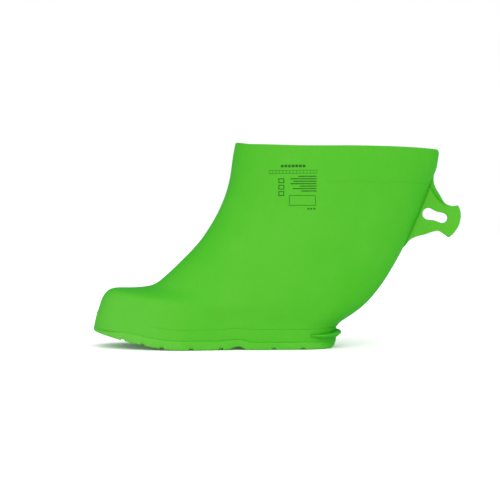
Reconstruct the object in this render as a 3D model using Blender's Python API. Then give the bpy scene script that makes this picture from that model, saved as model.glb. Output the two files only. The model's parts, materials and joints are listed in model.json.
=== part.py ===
"""A left overshoe of thin moulded rubber, pulled on over a work shoe.

Metres, +Z up. The toe points to -X and the outer side of the foot faces -Y.
The pieces are modelled from the tip of the toe backwards, and one empty then
stands them with the middle of their common box over the origin.
"""

import math

import bmesh
import bpy
from mathutils import Vector

# Outsole
SOLE_LENGTH = 0.3315
BALL_WIDTH = 0.120
WAIST_WIDTH = 0.091
HEEL_WIDTH = 0.092
SOLE_THICKNESS = 0.012
SOLE_TOE_THICKNESS = 0.0045
SOLE_TAPER = 0.062
RAND_STEP = 0.0010
RAND_ROUNDING = 0.0014
RAND_END = 0.0006
TOE_SPRING = 0.0225
SPRING_LENGTH = 0.116
SPRING_POWER = 1.3
GROOVE_WIDTH = 0.0050
GROOVE_DEPTH = 0.0025
GROOVE_DRAFT = 0.0009
GROOVE_SWEEP = 0.0080
CHANNEL_WIDTH = 0.0070
ARCH_RISE = 0.0038
HEEL_ROLL = 0.0062
HEEL_ROLL_LENGTH = 0.0200
HEEL_TUCK = 0.0022

# Upper
WALL = 0.0025
TOE_HEIGHT = 0.081
SHIN_HEIGHT = 0.277
BACK_HEIGHT = 0.2675
SHIN_SETBACK = 0.1945
BACK_OVERHANG = 0.1393
SHAFT_WIDTH = 0.128
TOE_SWING = 0.010
WAIST_SWING = 0.004
FOXING_HEIGHT = 0.027
FOXING_SETBACK = 0.0062
FEATHER_SETBACK = 0.0022
FOXING_STEP = 0.0008
FOXING_SLOPE = 0.0007

# Heel spur
SPUR_HEIGHT = 0.0200
SPUR_DROP = 0.0018
SPUR_REACH = 0.0065
SPUR_ROOT_ABOVE = 0.0044
SPUR_ROOT_BELOW = 0.0064
SPUR_NOSE = 0.0052
SPUR_LENGTH = 0.036
SPUR_TAPER_SHARE = 0.30

# Pull tab
TAB_THICKNESS = 0.0036
TAB_HEIGHT = 0.1842
TAB_REACH = 0.0575
TAB_WAIST = 0.0360
TAB_DROOP = math.radians(16.6)
TAB_BEAD = 0.0050
TAB_EDGE_ROUNDING = 0.0007
TAB_FILLET = 0.0120
TAB_FILLET_TIP = 0.0010
SLOT_ROOT_RADIUS = 0.0082
SLOT_END_RADIUS = 0.0070
SLOT_NECK = 0.0128
SLOT_WEB = 0.0040
SLOT_SPACING = 0.0199

# Gap that is left between two pieces that touch
CLEARANCE = 0.0003

# Fineness of the meshes
SIDE_SEGMENTS = 28
RINGS_PER_ROW = 2
SOLE_STEPS = 34
ARCH_STEPS = 6
SPUR_STEPS = 12
TAB_STEPS = 12
FILLET_STEPS = 5
NECK_STEPS = 6
BEAD_SIDES = 10

# Foot outline seen from above. along: share of SOLE_LENGTH; width: share of the
# width it names; swing: share of the swing it names, towards the inner side.
FOOT_PLAN = (
    # along, width, swing
    (0.00, 0.94 * BALL_WIDTH, 1.0 * TOE_SWING),
    (0.34, 1.00 * BALL_WIDTH, 0.0 * TOE_SWING),
    (0.64, 1.00 * WAIST_WIDTH, -1.0 * WAIST_SWING),
    (0.86, 1.00 * HEEL_WIDTH, 0.0 * WAIST_SWING),
    (1.00, 0.96 * HEEL_WIDTH, 0.0 * WAIST_SWING),
)
# Lengths of the rounded ends, as shares of BALL_WIDTH and HEEL_WIDTH, and how blunt they are
TOE_NOSE_SHARE = 0.92
HEEL_TAIL_SHARE = 0.56
TOE_POWER = 2.35
SHAFT_FRONT_POWER = 2.0
HEEL_POWER = 0.48
SHAFT_BACK_POWER = 0.66

# Rings of the upper above the foxing band, from the sole to the rim.
# front: share of SHIN_SETBACK behind the toe tip.
# front_up: 0 to 1 from the foxing to TOE_HEIGHT, 1 to 2 on to SHIN_HEIGHT.
# back: share of BACK_OVERHANG behind the heel.
# back_up: share of the way from the foxing to BACK_HEIGHT.
# sag: how far the ring hangs below a straight line from front to back, 1 is straight.
# follow: how far it follows the toe spring. foot: 1 has the foot's plan, 0 the shaft's.
# nose, tail: lengths of the rounded ends, as shares of BALL_WIDTH and HEEL_WIDTH.
RING_COLUMNS = (
    "front", "front_up", "back", "back_up", "sag", "follow", "foot", "nose", "tail"
)
RING_TABLE = (
    (0.060, 0.36, 0.022, 0.020, 1.3, 0.70, 0.97, 0.97, 0.58),
    (0.099, 0.70, 0.058, 0.036, 1.5, 0.40, 0.92, 1.04, 0.64),
    (0.160, 0.94, 0.112, 0.056, 1.6, 0.16, 0.84, 1.16, 0.76),
    (0.300, 0.985, 0.190, 0.086, 1.5, 0.05, 0.73, 1.32, 0.94),
    (0.415, 1.012, 0.275, 0.124, 1.3, 0.00, 0.61, 1.40, 1.12),
    (0.505, 1.075, 0.360, 0.172, 1.1, 0.00, 0.49, 1.40, 1.30),
    (0.620, 1.183, 0.463, 0.248, 1.0, 0.00, 0.37, 1.36, 1.48),
    (0.735, 1.300, 0.563, 0.342, 1.0, 0.00, 0.26, 1.28, 1.62),
    (0.836, 1.443, 0.680, 0.468, 1.0, 0.00, 0.16, 1.20, 1.70),
    (0.915, 1.600, 0.790, 0.612, 1.0, 0.00, 0.09, 1.12, 1.72),
    (0.961, 1.752, 0.897, 0.762, 1.0, 0.00, 0.04, 1.06, 1.68),
    (0.979, 1.890, 0.972, 0.890, 1.3, 0.00, 0.01, 1.02, 1.60),
    (1.000, 2.000, 1.000, 1.000, 2.0, 0.00, 0.00, 1.00, 1.50),
)

# Tread grooves across the sole, from the toe back, as shares of SOLE_LENGTH,
# and the start, top and end of the arch under the waist
GROOVES_AT = (0.139, 0.220, 0.298, 0.414, 0.532, 0.743, 0.860)
ARCH_SPAN = (0.547, 0.603, 0.637)
CHANNEL_SPAN = (0.10, 0.93)

# Height of the tab above and below its middle line. out: share of TAB_REACH;
# above, below: shares of half of TAB_WAIST. The bead ends at a share of TAB_REACH.
TAB_OUTLINE = (
    # out, above, below
    (-0.20, 3.60, 3.05),
    (0.00, 2.87, 2.25),
    (0.22, 1.98, 1.71),
    (0.42, 1.33, 1.22),
    (0.56, 1.06, 1.00),
    (0.70, 1.00, 1.12),
    (0.83, 1.24, 1.29),
)
BEAD_SHARE = 0.62


def mix(a, b, share):
    """The value a share of the way from a to b."""
    return a + (b - a) * share


def smooth(share):
    """A share from 0 to 1 with level ends."""
    share = min(1.0, max(0.0, share))
    return share * share * (3.0 - 2.0 * share)


def curve_through(knots, values):
    """A smooth curve through the values that never swings past them."""
    steps = [b - a for a, b in zip(knots, knots[1:])]
    slopes = [(b - a) / h for a, b, h in zip(values, values[1:], steps)]
    bends = [slopes[0]]
    for before, after in zip(slopes, slopes[1:]):
        bends.append(2.0 * before * after / (before + after) if before * after > 0.0 else 0.0)
    bends.append(slopes[-1])

    def at(where):
        last = len(steps) - 1
        k = next((i for i in range(last) if where < knots[i + 1]), last)
        h = steps[k]
        t = (where - knots[k]) / h
        return (
            (1 + 2 * t) * (1 - t) ** 2 * values[k]
            + t * (1 - t) ** 2 * h * bends[k]
            + t * t * (3 - 2 * t) * values[k + 1]
            + t * t * (t - 1) * h * bends[k + 1]
        )

    return at


def ground(x):
    """Height of the tread's underside, which lifts off the floor towards the toe."""
    return TOE_SPRING * max(0.0, 1.0 - x / SPRING_LENGTH) ** SPRING_POWER


def thinning(x):
    """How much thinner the sole is near the toe than elsewhere."""
    return (SOLE_THICKNESS - SOLE_TOE_THICKNESS) * (1.0 - smooth(x / SOLE_TAPER))


plan_width = curve_through([row[0] for row in FOOT_PLAN], [row[1] for row in FOOT_PLAN])
plan_swing = curve_through([row[0] for row in FOOT_PLAN], [row[2] for row in FOOT_PLAN])


def rounded_front(distance, length, bluntness):
    """Width share of a rounded front end, at a distance behind its tip."""
    left = max(0.0, 1.0 - distance / length)
    return (1.0 - left**bluntness) ** (1.0 / bluntness)


def rounded_back(distance, length, roundness):
    """Width share of a rounded or pinched back end, at a distance before its tip."""
    left = max(0.0, 1.0 - distance / length)
    return max(0.0, 1.0 - left * left) ** roundness


def band_row(lift, out):
    """The ring at one height above the tread's underside, within the foxing band."""
    share = (lift - SOLE_THICKNESS) / (FOXING_HEIGHT - SOLE_THICKNESS)
    front = mix(FEATHER_SETBACK, FOXING_SETBACK, share)
    return {
        "front": front - out,
        "front_z": ground(front - out) + lift,
        "back": SOLE_LENGTH + out,
        "back_z": lift,
        "sag": 1.0,
        "follow": 1.0,
        "thin": 1.0 - share,
        "foot": 1.0,
        "nose": TOE_NOSE_SHARE * BALL_WIDTH,
        "tail": HEEL_TAIL_SHARE * HEEL_WIDTH,
        "out": out,
    }


def table_row(shares):
    """A ring of the table, in metres."""
    row = dict(zip(RING_COLUMNS, shares))
    up = row["front_up"]
    toe_start = ground(0.0) + FOXING_HEIGHT
    if up < 1.0:
        front_z = mix(toe_start, TOE_HEIGHT, up)
    else:
        front_z = mix(TOE_HEIGHT, SHIN_HEIGHT, up - 1.0)
    return {
        "front": row["front"] * SHIN_SETBACK,
        "front_z": front_z,
        "back": SOLE_LENGTH + row["back"] * BACK_OVERHANG,
        "back_z": mix(FOXING_HEIGHT, BACK_HEIGHT, row["back_up"]),
        "sag": row["sag"],
        "follow": row["follow"],
        "thin": 0.0,
        "foot": row["foot"],
        "nose": row["nose"] * BALL_WIDTH,
        "tail": row["tail"] * HEEL_WIDTH,
        "out": 0.0,
    }


def ring_point(row, share, side):
    """The point of a ring a share of its length behind its front, side -1 outer, 1 inner."""
    x = mix(row["front"], row["back"], share)
    along = min(1.0, max(0.0, x / SOLE_LENGTH))
    half = 0.5 * mix(SHAFT_WIDTH, plan_width(along), row["foot"]) + row["out"]
    bluntness = mix(SHAFT_FRONT_POWER, TOE_POWER, row["foot"])
    roundness = mix(SHAFT_BACK_POWER, HEEL_POWER, row["foot"])
    half *= rounded_front(x - row["front"], row["nose"], bluntness)
    half *= rounded_back(row["back"] - x, row["tail"], roundness)
    front_base = row["front_z"] - row["follow"] * ground(row["front"])
    base = mix(row["back_z"], front_base, (1.0 - share) ** row["sag"])
    return Vector((
        x,
        row["foot"] * plan_swing(along) + side * half,
        base + row["follow"] * ground(x) - row["thin"] * thinning(x),
    ))


def side_shares(segments):
    """Shares along a ring, close together at its rounded ends."""
    return [0.5 - 0.5 * math.cos(math.pi * i / segments) for i in range(segments + 1)]


def closed_ring(row):
    """The points of a ring, from its front along the outer side and back along the inner."""
    shares = side_shares(SIDE_SEGMENTS)
    outer = [ring_point(row, share, -1) for share in shares]
    inner = [ring_point(row, share, 1) for share in shares[-2:0:-1]]
    return outer + inner


def rings_above_foxing():
    """The rows from the top of the foxing band to the rim, with the ones between."""
    rows = [band_row(FOXING_HEIGHT, 0.0)] + [table_row(shares) for shares in RING_TABLE]
    knots = list(range(len(rows)))
    curves = {name: curve_through(knots, [row[name] for row in rows]) for name in rows[0]}
    count = RINGS_PER_ROW * (len(rows) - 1)
    levels = [i / RINGS_PER_ROW for i in range(count + 1)]
    return [{name: curve(level) for name, curve in curves.items()} for level in levels]


def rubber(name, colour, roughness):
    """A plain rubber material."""
    material = bpy.data.materials.new(name)
    material.use_nodes = True
    shader = material.node_tree.nodes["Principled BSDF"]
    shader.inputs["Base Color"].default_value = (*colour, 1.0)
    shader.inputs["Roughness"].default_value = roughness
    shader.inputs["Metallic"].default_value = 0.0
    return material


def new_object(name, bm, material, root):
    """An object made from a bmesh, shaded smooth but for its edges."""
    mesh = bpy.data.meshes.new(name)
    bm.to_mesh(mesh)
    bm.free()
    mesh.materials.append(material)
    mesh.shade_smooth()
    mesh.set_sharp_from_angle(angle=math.radians(40))
    piece = bpy.data.objects.new(name, mesh)
    bpy.context.scene.collection.objects.link(piece)
    piece.parent = root
    return piece


def skin(bm, rings):
    """Quads between closed rings of equal length, and the rings' vertices."""
    loops = [[bm.verts.new(point) for point in ring] for ring in rings]
    for lower, upper in zip(loops, loops[1:]):
        for i in range(len(lower)):
            j = (i + 1) % len(lower)
            bm.faces.new((lower[i], lower[j], upper[j], upper[i]))
    return loops


def make_upper(material, root):
    """The hollow shell: a skin of rings from the sole to the rim, given its wall inwards."""
    feather = SOLE_THICKNESS + CLEARANCE
    band = [
        band_row(feather, FOXING_STEP),
        band_row(0.5 * (feather + FOXING_HEIGHT), FOXING_STEP),
        band_row(FOXING_HEIGHT - FOXING_SLOPE, FOXING_STEP),
    ]
    bm = bmesh.new()
    loops = skin(bm, [closed_ring(row) for row in band + rings_above_foxing()])
    foot = loops[0]
    for i in range(SIDE_SEGMENTS):
        corners = (foot[i], foot[-i], foot[-i - 1], foot[i + 1])
        bm.faces.new(dict.fromkeys(corners))
    piece = new_object("upper", bm, material, root)
    wall = piece.modifiers.new("wall", "SOLIDIFY")
    wall.thickness = WALL
    wall.offset = -1.0
    wall.use_even_offset = True
    wall.use_quality_normals = True
    return piece


def arch(x):
    """How far the tread rises off the floor under the waist."""
    start, top, end = (at * SOLE_LENGTH for at in ARCH_SPAN)
    return ARCH_RISE * smooth((x - start) / (top - start)) * smooth((end - x) / (end - top))


def sole_stations(front, back):
    """Places along the sole with their cut into the tread, two close ones at a groove's edge."""
    start, top, end = (at * SOLE_LENGTH for at in ARCH_SPAN)
    stations = [(mix(front, back, share), 0.0) for share in side_shares(SOLE_STEPS)]
    stations = [place for place in stations if not start < place[0] < end]
    stations += [(mix(start, top, i / ARCH_STEPS), 0.0) for i in range(1, ARCH_STEPS)]
    stations += [(mix(top, end, i / ARCH_STEPS), 0.0) for i in range(ARCH_STEPS)]
    for at in GROOVES_AT:
        start = at * SOLE_LENGTH - 0.5 * GROOVE_WIDTH
        end = at * SOLE_LENGTH + 0.5 * GROOVE_WIDTH
        edge = 0.5 * GROOVE_DRAFT
        near = (start - 3.0 * edge, end + 3.0 * edge)
        stations = [place for place in stations if not near[0] < place[0] < near[1]]
        stations += [
            (start - edge, 0.0),
            (start + edge, GROOVE_DEPTH),
            (end - edge, GROOVE_DEPTH),
            (end + edge, 0.0),
        ]
    return sorted(stations)


def sole_section(row, x, cut):
    """The sole's closed outline across one station, up the outer side and down the inner."""
    share = (x - row["front"]) / (row["back"] - row["front"])
    outer = ring_point(row, share, -1).y
    inner = ring_point(row, share, 1).y
    middle = 0.5 * (outer + inner)
    half = inner - middle
    roll = max(0.0, x - SOLE_LENGTH + HEEL_ROLL_LENGTH) / HEEL_ROLL_LENGTH
    tuck = x - HEEL_TUCK * roll**2
    low = ground(x) + max(cut, arch(x)) + HEEL_ROLL * roll**2
    top = ground(x) + SOLE_THICKNESS - thinning(x)
    rounding = min(RAND_ROUNDING, 0.3 * half)
    start, end = (share_of * SOLE_LENGTH for share_of in CHANNEL_SPAN)
    fade = smooth((x - start) / CHANNEL_WIDTH) * smooth((end - x) / CHANNEL_WIDTH)
    channel = low + max(0.0, GROOVE_DEPTH * fade - max(cut, arch(x)))
    lip = min(0.5 * CHANNEL_WIDTH, 0.4 * half)
    sweep = GROOVE_SWEEP * smooth((x - start) / GROOVE_SWEEP) * smooth((end - x) / GROOVE_SWEEP)
    return [
        Vector((tuck, middle - half, low + rounding)),
        Vector((x, middle - half, top - rounding)),
        Vector((x, middle - half + rounding, top)),
        Vector((x, middle + half - rounding, top)),
        Vector((x, middle + half, top - rounding)),
        Vector((tuck, middle + half, low + rounding)),
        Vector((tuck, middle + half - rounding, low)),
        Vector((tuck - sweep, middle + lip + GROOVE_DRAFT, low)),
        Vector((tuck - sweep, middle + lip, channel)),
        Vector((tuck - sweep, middle - lip, channel)),
        Vector((tuck - sweep, middle - lip - GROOVE_DRAFT, low)),
        Vector((tuck, middle - half + rounding, low)),
    ]


def make_outsole(material, root):
    """The tread sole: cross-sections from toe to heel, closed at both ends."""
    row = band_row(SOLE_THICKNESS, FOXING_STEP + RAND_STEP)
    stations = sole_stations(row["front"] + RAND_END, row["back"] - RAND_END)
    bm = bmesh.new()
    loops = skin(bm, [sole_section(row, x, cut) for x, cut in stations])
    bm.faces.new(loops[0])
    bm.faces.new(reversed(loops[-1]))
    bmesh.ops.recalc_face_normals(bm, faces=bm.faces)
    bmesh.ops.triangulate(bm, faces=bm.faces)
    return new_object("outsole", bm, material, root)


def heel_wall(distance, lift):
    """A point on the outer side of the foxing band, a distance before the heel's back."""
    row = band_row(lift, FOXING_STEP)
    share = 1.0 - distance / (row["back"] - row["front"])
    return ring_point(row, share, -1)


def spur_section(place, outward, size):
    """The ledge's section where it leaves the heel, a rounded wedge."""
    nose = 0.5 * mix(0.5 * SPUR_NOSE, SPUR_NOSE, size)
    above = mix(nose, SPUR_ROOT_ABOVE, size)
    below = mix(nose, SPUR_ROOT_BELOW, size)
    reach = mix(0.25, 1.0, size) * SPUR_REACH
    profile = (
        # outward, up
        (0.0, -below),
        (0.35 * reach, -0.5 * (below + nose)),
        (reach - 0.6 * nose, -nose),
        (reach, -0.4 * nose),
        (reach, 0.4 * nose),
        (reach - 0.6 * nose, nose),
        (0.35 * reach, 0.5 * (above + nose)),
        (0.0, above),
    )
    return [place + (out + CLEARANCE) * outward + Vector((0, 0, up)) for out, up in profile]


def make_heel_spur(material, root):
    """The kick-off ledge: wedge sections round the heel, tapered at both ends."""
    turns = [0.5 * math.pi * i / SPUR_STEPS for i in range(SPUR_STEPS + 1)]
    distances = [SPUR_LENGTH * (1.0 - math.sin(turn)) for turn in turns]
    lifts = [SPUR_HEIGHT - SPUR_DROP * distance / SPUR_LENGTH for distance in distances]
    outer = [heel_wall(distance, lift) for distance, lift in zip(distances, lifts)]
    path = outer + [Vector((p.x, -p.y, p.z)) for p in reversed(outer[:-1])]
    sections = []
    for i, place in enumerate(path):
        ahead = path[min(i + 1, len(path) - 1)]
        behind = path[max(i - 1, 0)]
        along = (ahead - behind).normalized()
        outward = Vector((along.y, -along.x, 0.0))
        size = smooth((1.0 - abs(i - SPUR_STEPS) / SPUR_STEPS) / SPUR_TAPER_SHARE)
        sections.append(spur_section(place, outward, size))
    bm = bmesh.new()
    loops = skin(bm, sections)
    bm.faces.new(loops[0])
    bm.faces.new(reversed(loops[-1]))
    bmesh.ops.recalc_face_normals(bm, faces=bm.faces)
    return new_object("heel_spur", bm, material, root)


def back_line():
    """The back edge of the upper, from the foxing to the rim, in the plane of the tab."""
    return [Vector((row["back"], row["back_z"])) for row in rings_above_foxing()]


def refined(points, parts):
    """A line of points with each stretch cut into equal parts."""
    line = [a.lerp(b, i / parts) for a, b in zip(points, points[1:]) for i in range(parts)]
    return line + [points[-1]]


def tab_axes():
    """Where the tab's middle line meets the back edge, and its directions out and up."""
    line = back_line()
    below, above = next((a, b) for a, b in zip(line, line[1:]) if b.y > TAB_HEIGHT)
    seat = below.lerp(above, (TAB_HEIGHT - below.y) / (above.y - below.y))
    out = Vector((math.cos(TAB_DROOP), -math.sin(TAB_DROOP)))
    up = Vector((-out.y, out.x))
    return seat, out, up


def arc(centre, radius, start, end, steps):
    """Points of a circular arc, its ends included."""
    angles = [mix(start, end, i / steps) for i in range(steps + 1)]
    return [centre + radius * Vector((math.cos(a), math.sin(a))) for a in angles]


def fillet(start, corner, end):
    """Points of a hollow curve from start to end, which leaves both along the lines to the corner."""
    shares = [i / FILLET_STEPS for i in range(FILLET_STEPS + 1)]
    return [start.lerp(corner, share).lerp(corner.lerp(end, share), share) for share in shares]


def tab_edges():
    """The tab's root along the back edge, its upper edge, its end and its lower edge."""
    seat, out, up = tab_axes()
    outs = [row[0] * TAB_REACH for row in TAB_OUTLINE]
    above = curve_through(outs, [row[1] * 0.5 * TAB_WAIST for row in TAB_OUTLINE])
    below = curve_through(outs, [row[2] * 0.5 * TAB_WAIST for row in TAB_OUTLINE])
    wall = [Vector(((p - seat).dot(out), (p - seat).dot(up))) for p in refined(back_line(), 8)]
    wall = [p + Vector((CLEARANCE, 0)) for p in wall]
    seated = [p for p in wall if -below(p.x) < p.y < above(p.x)]
    low, high = seated[0], seated[-1]
    root = [p for p in wall if low.y - TAB_FILLET < p.y < high.y + TAB_FILLET]
    corner = outs[-1]
    upper_outs = [mix(high.x, corner, i / TAB_STEPS) for i in range(1, TAB_STEPS + 1)]
    lower_outs = [mix(low.x, corner, i / TAB_STEPS) for i in range(1, TAB_STEPS + 1)]
    upper = [Vector((x, above(x))) for x in upper_outs if x > high.x + TAB_FILLET]
    lower = [Vector((x, -below(x))) for x in reversed(lower_outs) if x > low.x + TAB_FILLET]
    tip = Vector((TAB_FILLET_TIP, 0.0))
    upper = fillet(root[-1] + tip, high + tip, upper[0]) + upper[1:]
    lower = lower[:-1] + fillet(lower[-1], low + tip, root[0] + tip)
    half = 0.5 * (above(corner) + below(corner))
    rise = TAB_REACH - corner
    radius = (half**2 + rise**2) / (2.0 * rise)
    sweep = math.asin(half / radius)
    centre = Vector((TAB_REACH - radius, 0.5 * (above(corner) - below(corner))))
    end = arc(centre, radius, sweep, -sweep, TAB_STEPS)[1:-1]
    return root, upper, end, lower


def slot_outline():
    """The finger slot, two round lobes and a narrower neck, in lengths out and up."""
    root_lobe = Vector((SLOT_WEB + SLOT_ROOT_RADIUS, 0.0))
    end_lobe = root_lobe + Vector((SLOT_SPACING, 0.0))
    quarter = 0.5 * math.pi
    left = arc(root_lobe, SLOT_ROOT_RADIUS, quarter, 3 * quarter, TAB_STEPS)
    right = arc(end_lobe, SLOT_END_RADIUS, -quarter, quarter, TAB_STEPS)
    pinch = 0.5 * (SLOT_ROOT_RADIUS + SLOT_END_RADIUS - SLOT_NECK)
    shares = [i / NECK_STEPS for i in range(1, NECK_STEPS)]
    halves = [
        mix(SLOT_ROOT_RADIUS, SLOT_END_RADIUS, share) - pinch * math.sin(math.pi * share) ** 2
        for share in shares
    ]
    places = [root_lobe.x + SLOT_SPACING * share for share in shares]
    below = [Vector((x, -half)) for x, half in zip(places, halves)]
    above = [Vector((x, half)) for x, half in zip(places, halves)]
    return left + below + right + above[::-1]


def plate(bm, outline, hole, place):
    """A flat face with a hole, thickened to both sides of the middle plane."""
    rims = []
    for loop in (outline, hole):
        verts = [bm.verts.new(place(point, -0.5 * TAB_THICKNESS)) for point in loop]
        rims += [bm.edges.new((a, b)) for a, b in zip(verts, verts[1:] + verts[:1])]
    bmesh.ops.triangle_fill(bm, use_beauty=True, use_dissolve=False, edges=rims)
    made = bmesh.ops.extrude_face_region(bm, geom=bm.faces[:])
    moved = [part for part in made["geom"] if isinstance(part, bmesh.types.BMVert)]
    bmesh.ops.translate(bm, verts=moved, vec=Vector((0, TAB_THICKNESS, 0)))
    bmesh.ops.recalc_face_normals(bm, faces=bm.faces)


def bead(bm, points):
    """A round bead along a line of points in the tab's plane, thinned out at both ends."""
    rings = []
    last = len(points) - 1
    depth = Vector((0, 1, 0))
    for i, point in enumerate(points):
        along = (points[min(i + 1, last)] - points[max(i - 1, 0)]).normalized()
        across = along.cross(depth)
        radius = 0.5 * TAB_BEAD * mix(0.35, 1.0, smooth(min(i, last - i) / 3.0))
        angles = [2.0 * math.pi * k / BEAD_SIDES for k in range(BEAD_SIDES)]
        rings.append([point + radius * (math.cos(a) * across + math.sin(a) * depth) for a in angles])
    loops = skin(bm, rings)
    bm.faces.new(loops[0])
    bm.faces.new(reversed(loops[-1]))
    bmesh.ops.recalc_face_normals(bm, faces=bm.faces)


def make_pull_tab(material, root_empty):
    """The flat tab with its slot, and a bead along its upper edge that a union joins on."""
    seat, out, up = tab_axes()

    def place(point, depth):
        flat = seat + point.x * out + point.y * up
        return Vector((flat.x, depth, flat.y))

    root, upper, end, lower = tab_edges()
    bm = bmesh.new()
    plate(bm, root + upper + end + lower, slot_outline(), place)
    piece = new_object("pull_tab", bm, material, root_empty)
    rounding = piece.modifiers.new("edges", "BEVEL")
    rounding.width = TAB_EDGE_ROUNDING
    rounding.segments = 1
    rounding.limit_method = "ANGLE"
    rounding.angle_limit = math.radians(50)

    bm = bmesh.new()
    drop = Vector((0.0, -0.42 * TAB_BEAD))
    free = upper[FILLET_STEPS // 2:]
    line = [point + drop for point in free if point.x < BEAD_SHARE * TAB_REACH]
    bead(bm, [place(point, 0.0) for point in line])
    tube = new_object("pull_tab_bead", bm, material, root_empty)
    tube.hide_render = True
    tube.display_type = "WIRE"
    join = piece.modifiers.new("bead", "BOOLEAN")
    join.operation = "UNION"
    join.object = tube
    return piece


def stand_on_origin(root, pieces):
    """Moves the pieces so that the middle of their box stands on the origin."""
    bpy.context.view_layer.update()
    graph = bpy.context.evaluated_depsgraph_get()
    corners = []
    for piece in pieces:
        shape = piece.evaluated_get(graph)
        corners += [shape.matrix_world @ vertex.co for vertex in shape.data.vertices]
    low = [min(corner[axis] for corner in corners) for axis in range(3)]
    high = [max(corner[axis] for corner in corners) for axis in range(3)]
    root.location = (-0.5 * (low[0] + high[0]), -0.5 * (low[1] + high[1]), -low[2])


def main():
    for thing in list(bpy.data.objects):
        bpy.data.objects.remove(thing, do_unlink=True)
    root = bpy.data.objects.new("overshoe", None)
    bpy.context.scene.collection.objects.link(root)
    soft_green = rubber("green_rubber", (0.10, 0.56, 0.035), 0.46)
    tread_green = rubber("green_tread_rubber", (0.095, 0.53, 0.033), 0.52)
    pieces = [
        make_upper(soft_green, root),
        make_outsole(tread_green, root),
        make_heel_spur(soft_green, root),
        make_pull_tab(soft_green, root),
    ]
    stand_on_origin(root, pieces)


main()
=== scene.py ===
# %% [markdown]
# # A green rubber overshoe
#
# An overshoe is pulled on over a work shoe. This one is moulded from one bright green rubber: a thin
# hollow upper with a wide shaft that flares far back, a tread sole, a ledge at the heel for kicking it
# off, and a flat tab at the back for pulling it on.
#
# The exact model gives the size and place of every piece. This lesson gives them their looks: smooth
# moulded surfaces with rolled edges, soft dents, a satin rubber, and a plain printed panel on the outer
# side.

# %% Load the model that everything is fitted to
import json
import math

import bmesh
import bpy
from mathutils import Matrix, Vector, noise
from mathutils.bvhtree import BVHTree

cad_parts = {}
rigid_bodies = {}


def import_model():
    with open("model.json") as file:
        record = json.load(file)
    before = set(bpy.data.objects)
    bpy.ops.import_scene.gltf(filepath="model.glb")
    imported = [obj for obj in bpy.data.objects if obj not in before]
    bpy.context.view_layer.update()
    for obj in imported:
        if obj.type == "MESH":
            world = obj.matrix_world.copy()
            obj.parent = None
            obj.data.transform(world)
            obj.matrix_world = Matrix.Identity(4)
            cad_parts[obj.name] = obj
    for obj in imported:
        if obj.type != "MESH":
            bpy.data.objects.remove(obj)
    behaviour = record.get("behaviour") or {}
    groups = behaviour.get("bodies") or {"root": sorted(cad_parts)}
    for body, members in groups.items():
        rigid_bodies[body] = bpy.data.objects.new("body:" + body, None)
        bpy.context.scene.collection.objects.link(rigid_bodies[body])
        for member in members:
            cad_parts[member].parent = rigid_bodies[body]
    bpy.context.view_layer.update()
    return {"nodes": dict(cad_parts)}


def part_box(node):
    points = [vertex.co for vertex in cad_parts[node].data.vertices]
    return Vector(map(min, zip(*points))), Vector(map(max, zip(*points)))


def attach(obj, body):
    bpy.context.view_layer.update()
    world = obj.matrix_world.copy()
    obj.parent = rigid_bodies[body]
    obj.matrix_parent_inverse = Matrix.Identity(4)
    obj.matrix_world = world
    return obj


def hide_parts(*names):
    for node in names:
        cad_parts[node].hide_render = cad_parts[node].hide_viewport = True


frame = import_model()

for name in frame["nodes"]:
    low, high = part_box(name)
    print(name, "from", [round(1000 * c) for c in low], "to", [round(1000 * c) for c in high], "mm")

# %% [markdown]
# ## Working by hand, in code
#
# An operator works on all that is selected, so each step first selects what it means and nothing else.
# These few helpers do what a modeller does with the mouse: pick one piece, pick some of its points, edges
# or faces by their place, and apply a modifier.

# %% Helpers for picking and applying
MM = 0.001


def pick(piece):
    """Selects one piece alone and makes it active."""
    bpy.ops.object.select_all(action="DESELECT")
    piece.select_set(True)
    bpy.context.view_layer.objects.active = piece


def pick_parts(piece, mode, wanted):
    """In edit mode, selects the piece's vertices, edges or faces that a test wants."""
    bpy.ops.mesh.select_mode(type=mode)
    bpy.ops.mesh.select_all(action="DESELECT")
    shape = bmesh.from_edit_mesh(piece.data)
    parts = {"VERT": shape.verts, "EDGE": shape.edges, "FACE": shape.faces}[mode]
    count = 0
    for part in parts:
        if wanted(part):
            part.select = True
            count += 1
    shape.select_flush_mode()
    bmesh.update_edit_mesh(piece.data)
    return count


def apply_modifier(piece, kind, **settings):
    """Adds a modifier to the piece with these settings, and applies it."""
    pick(piece)
    modifier = piece.modifiers.new(kind.lower(), kind)
    for setting, value in settings.items():
        setattr(modifier, setting, value)
    bpy.ops.object.modifier_apply(modifier=modifier.name)


def surface_of(piece):
    """A search tree of the piece's faces, for distances and rays."""
    corners = [vertex.co for vertex in piece.data.vertices]
    return BVHTree.FromPolygons(corners, [tuple(face.vertices) for face in piece.data.polygons])


def smooth(share):
    """A share from 0 to 1 with level ends."""
    share = min(1.0, max(0.0, share))
    return share * share * (3.0 - 2.0 * share)


def report(piece):
    """Prints how fine a piece is."""
    print(piece.name, len(piece.data.polygons), "faces")


# %% [markdown]
# ## A clean copy of a node
#
# The model's nodes are loose triangles. A smooth surface needs joined quads, so each piece starts as a
# copy: its double points are merged, and its triangles are paired into quads. Sharp edges get a crease,
# so that subdivision rounds the rubber along its length and still keeps its rims and steps.

# %% Copying a node and rounding it
MERGE = 0.01 * MM
QUAD_BEND = math.radians(40)
QUAD_SKEW = math.radians(70)


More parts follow.
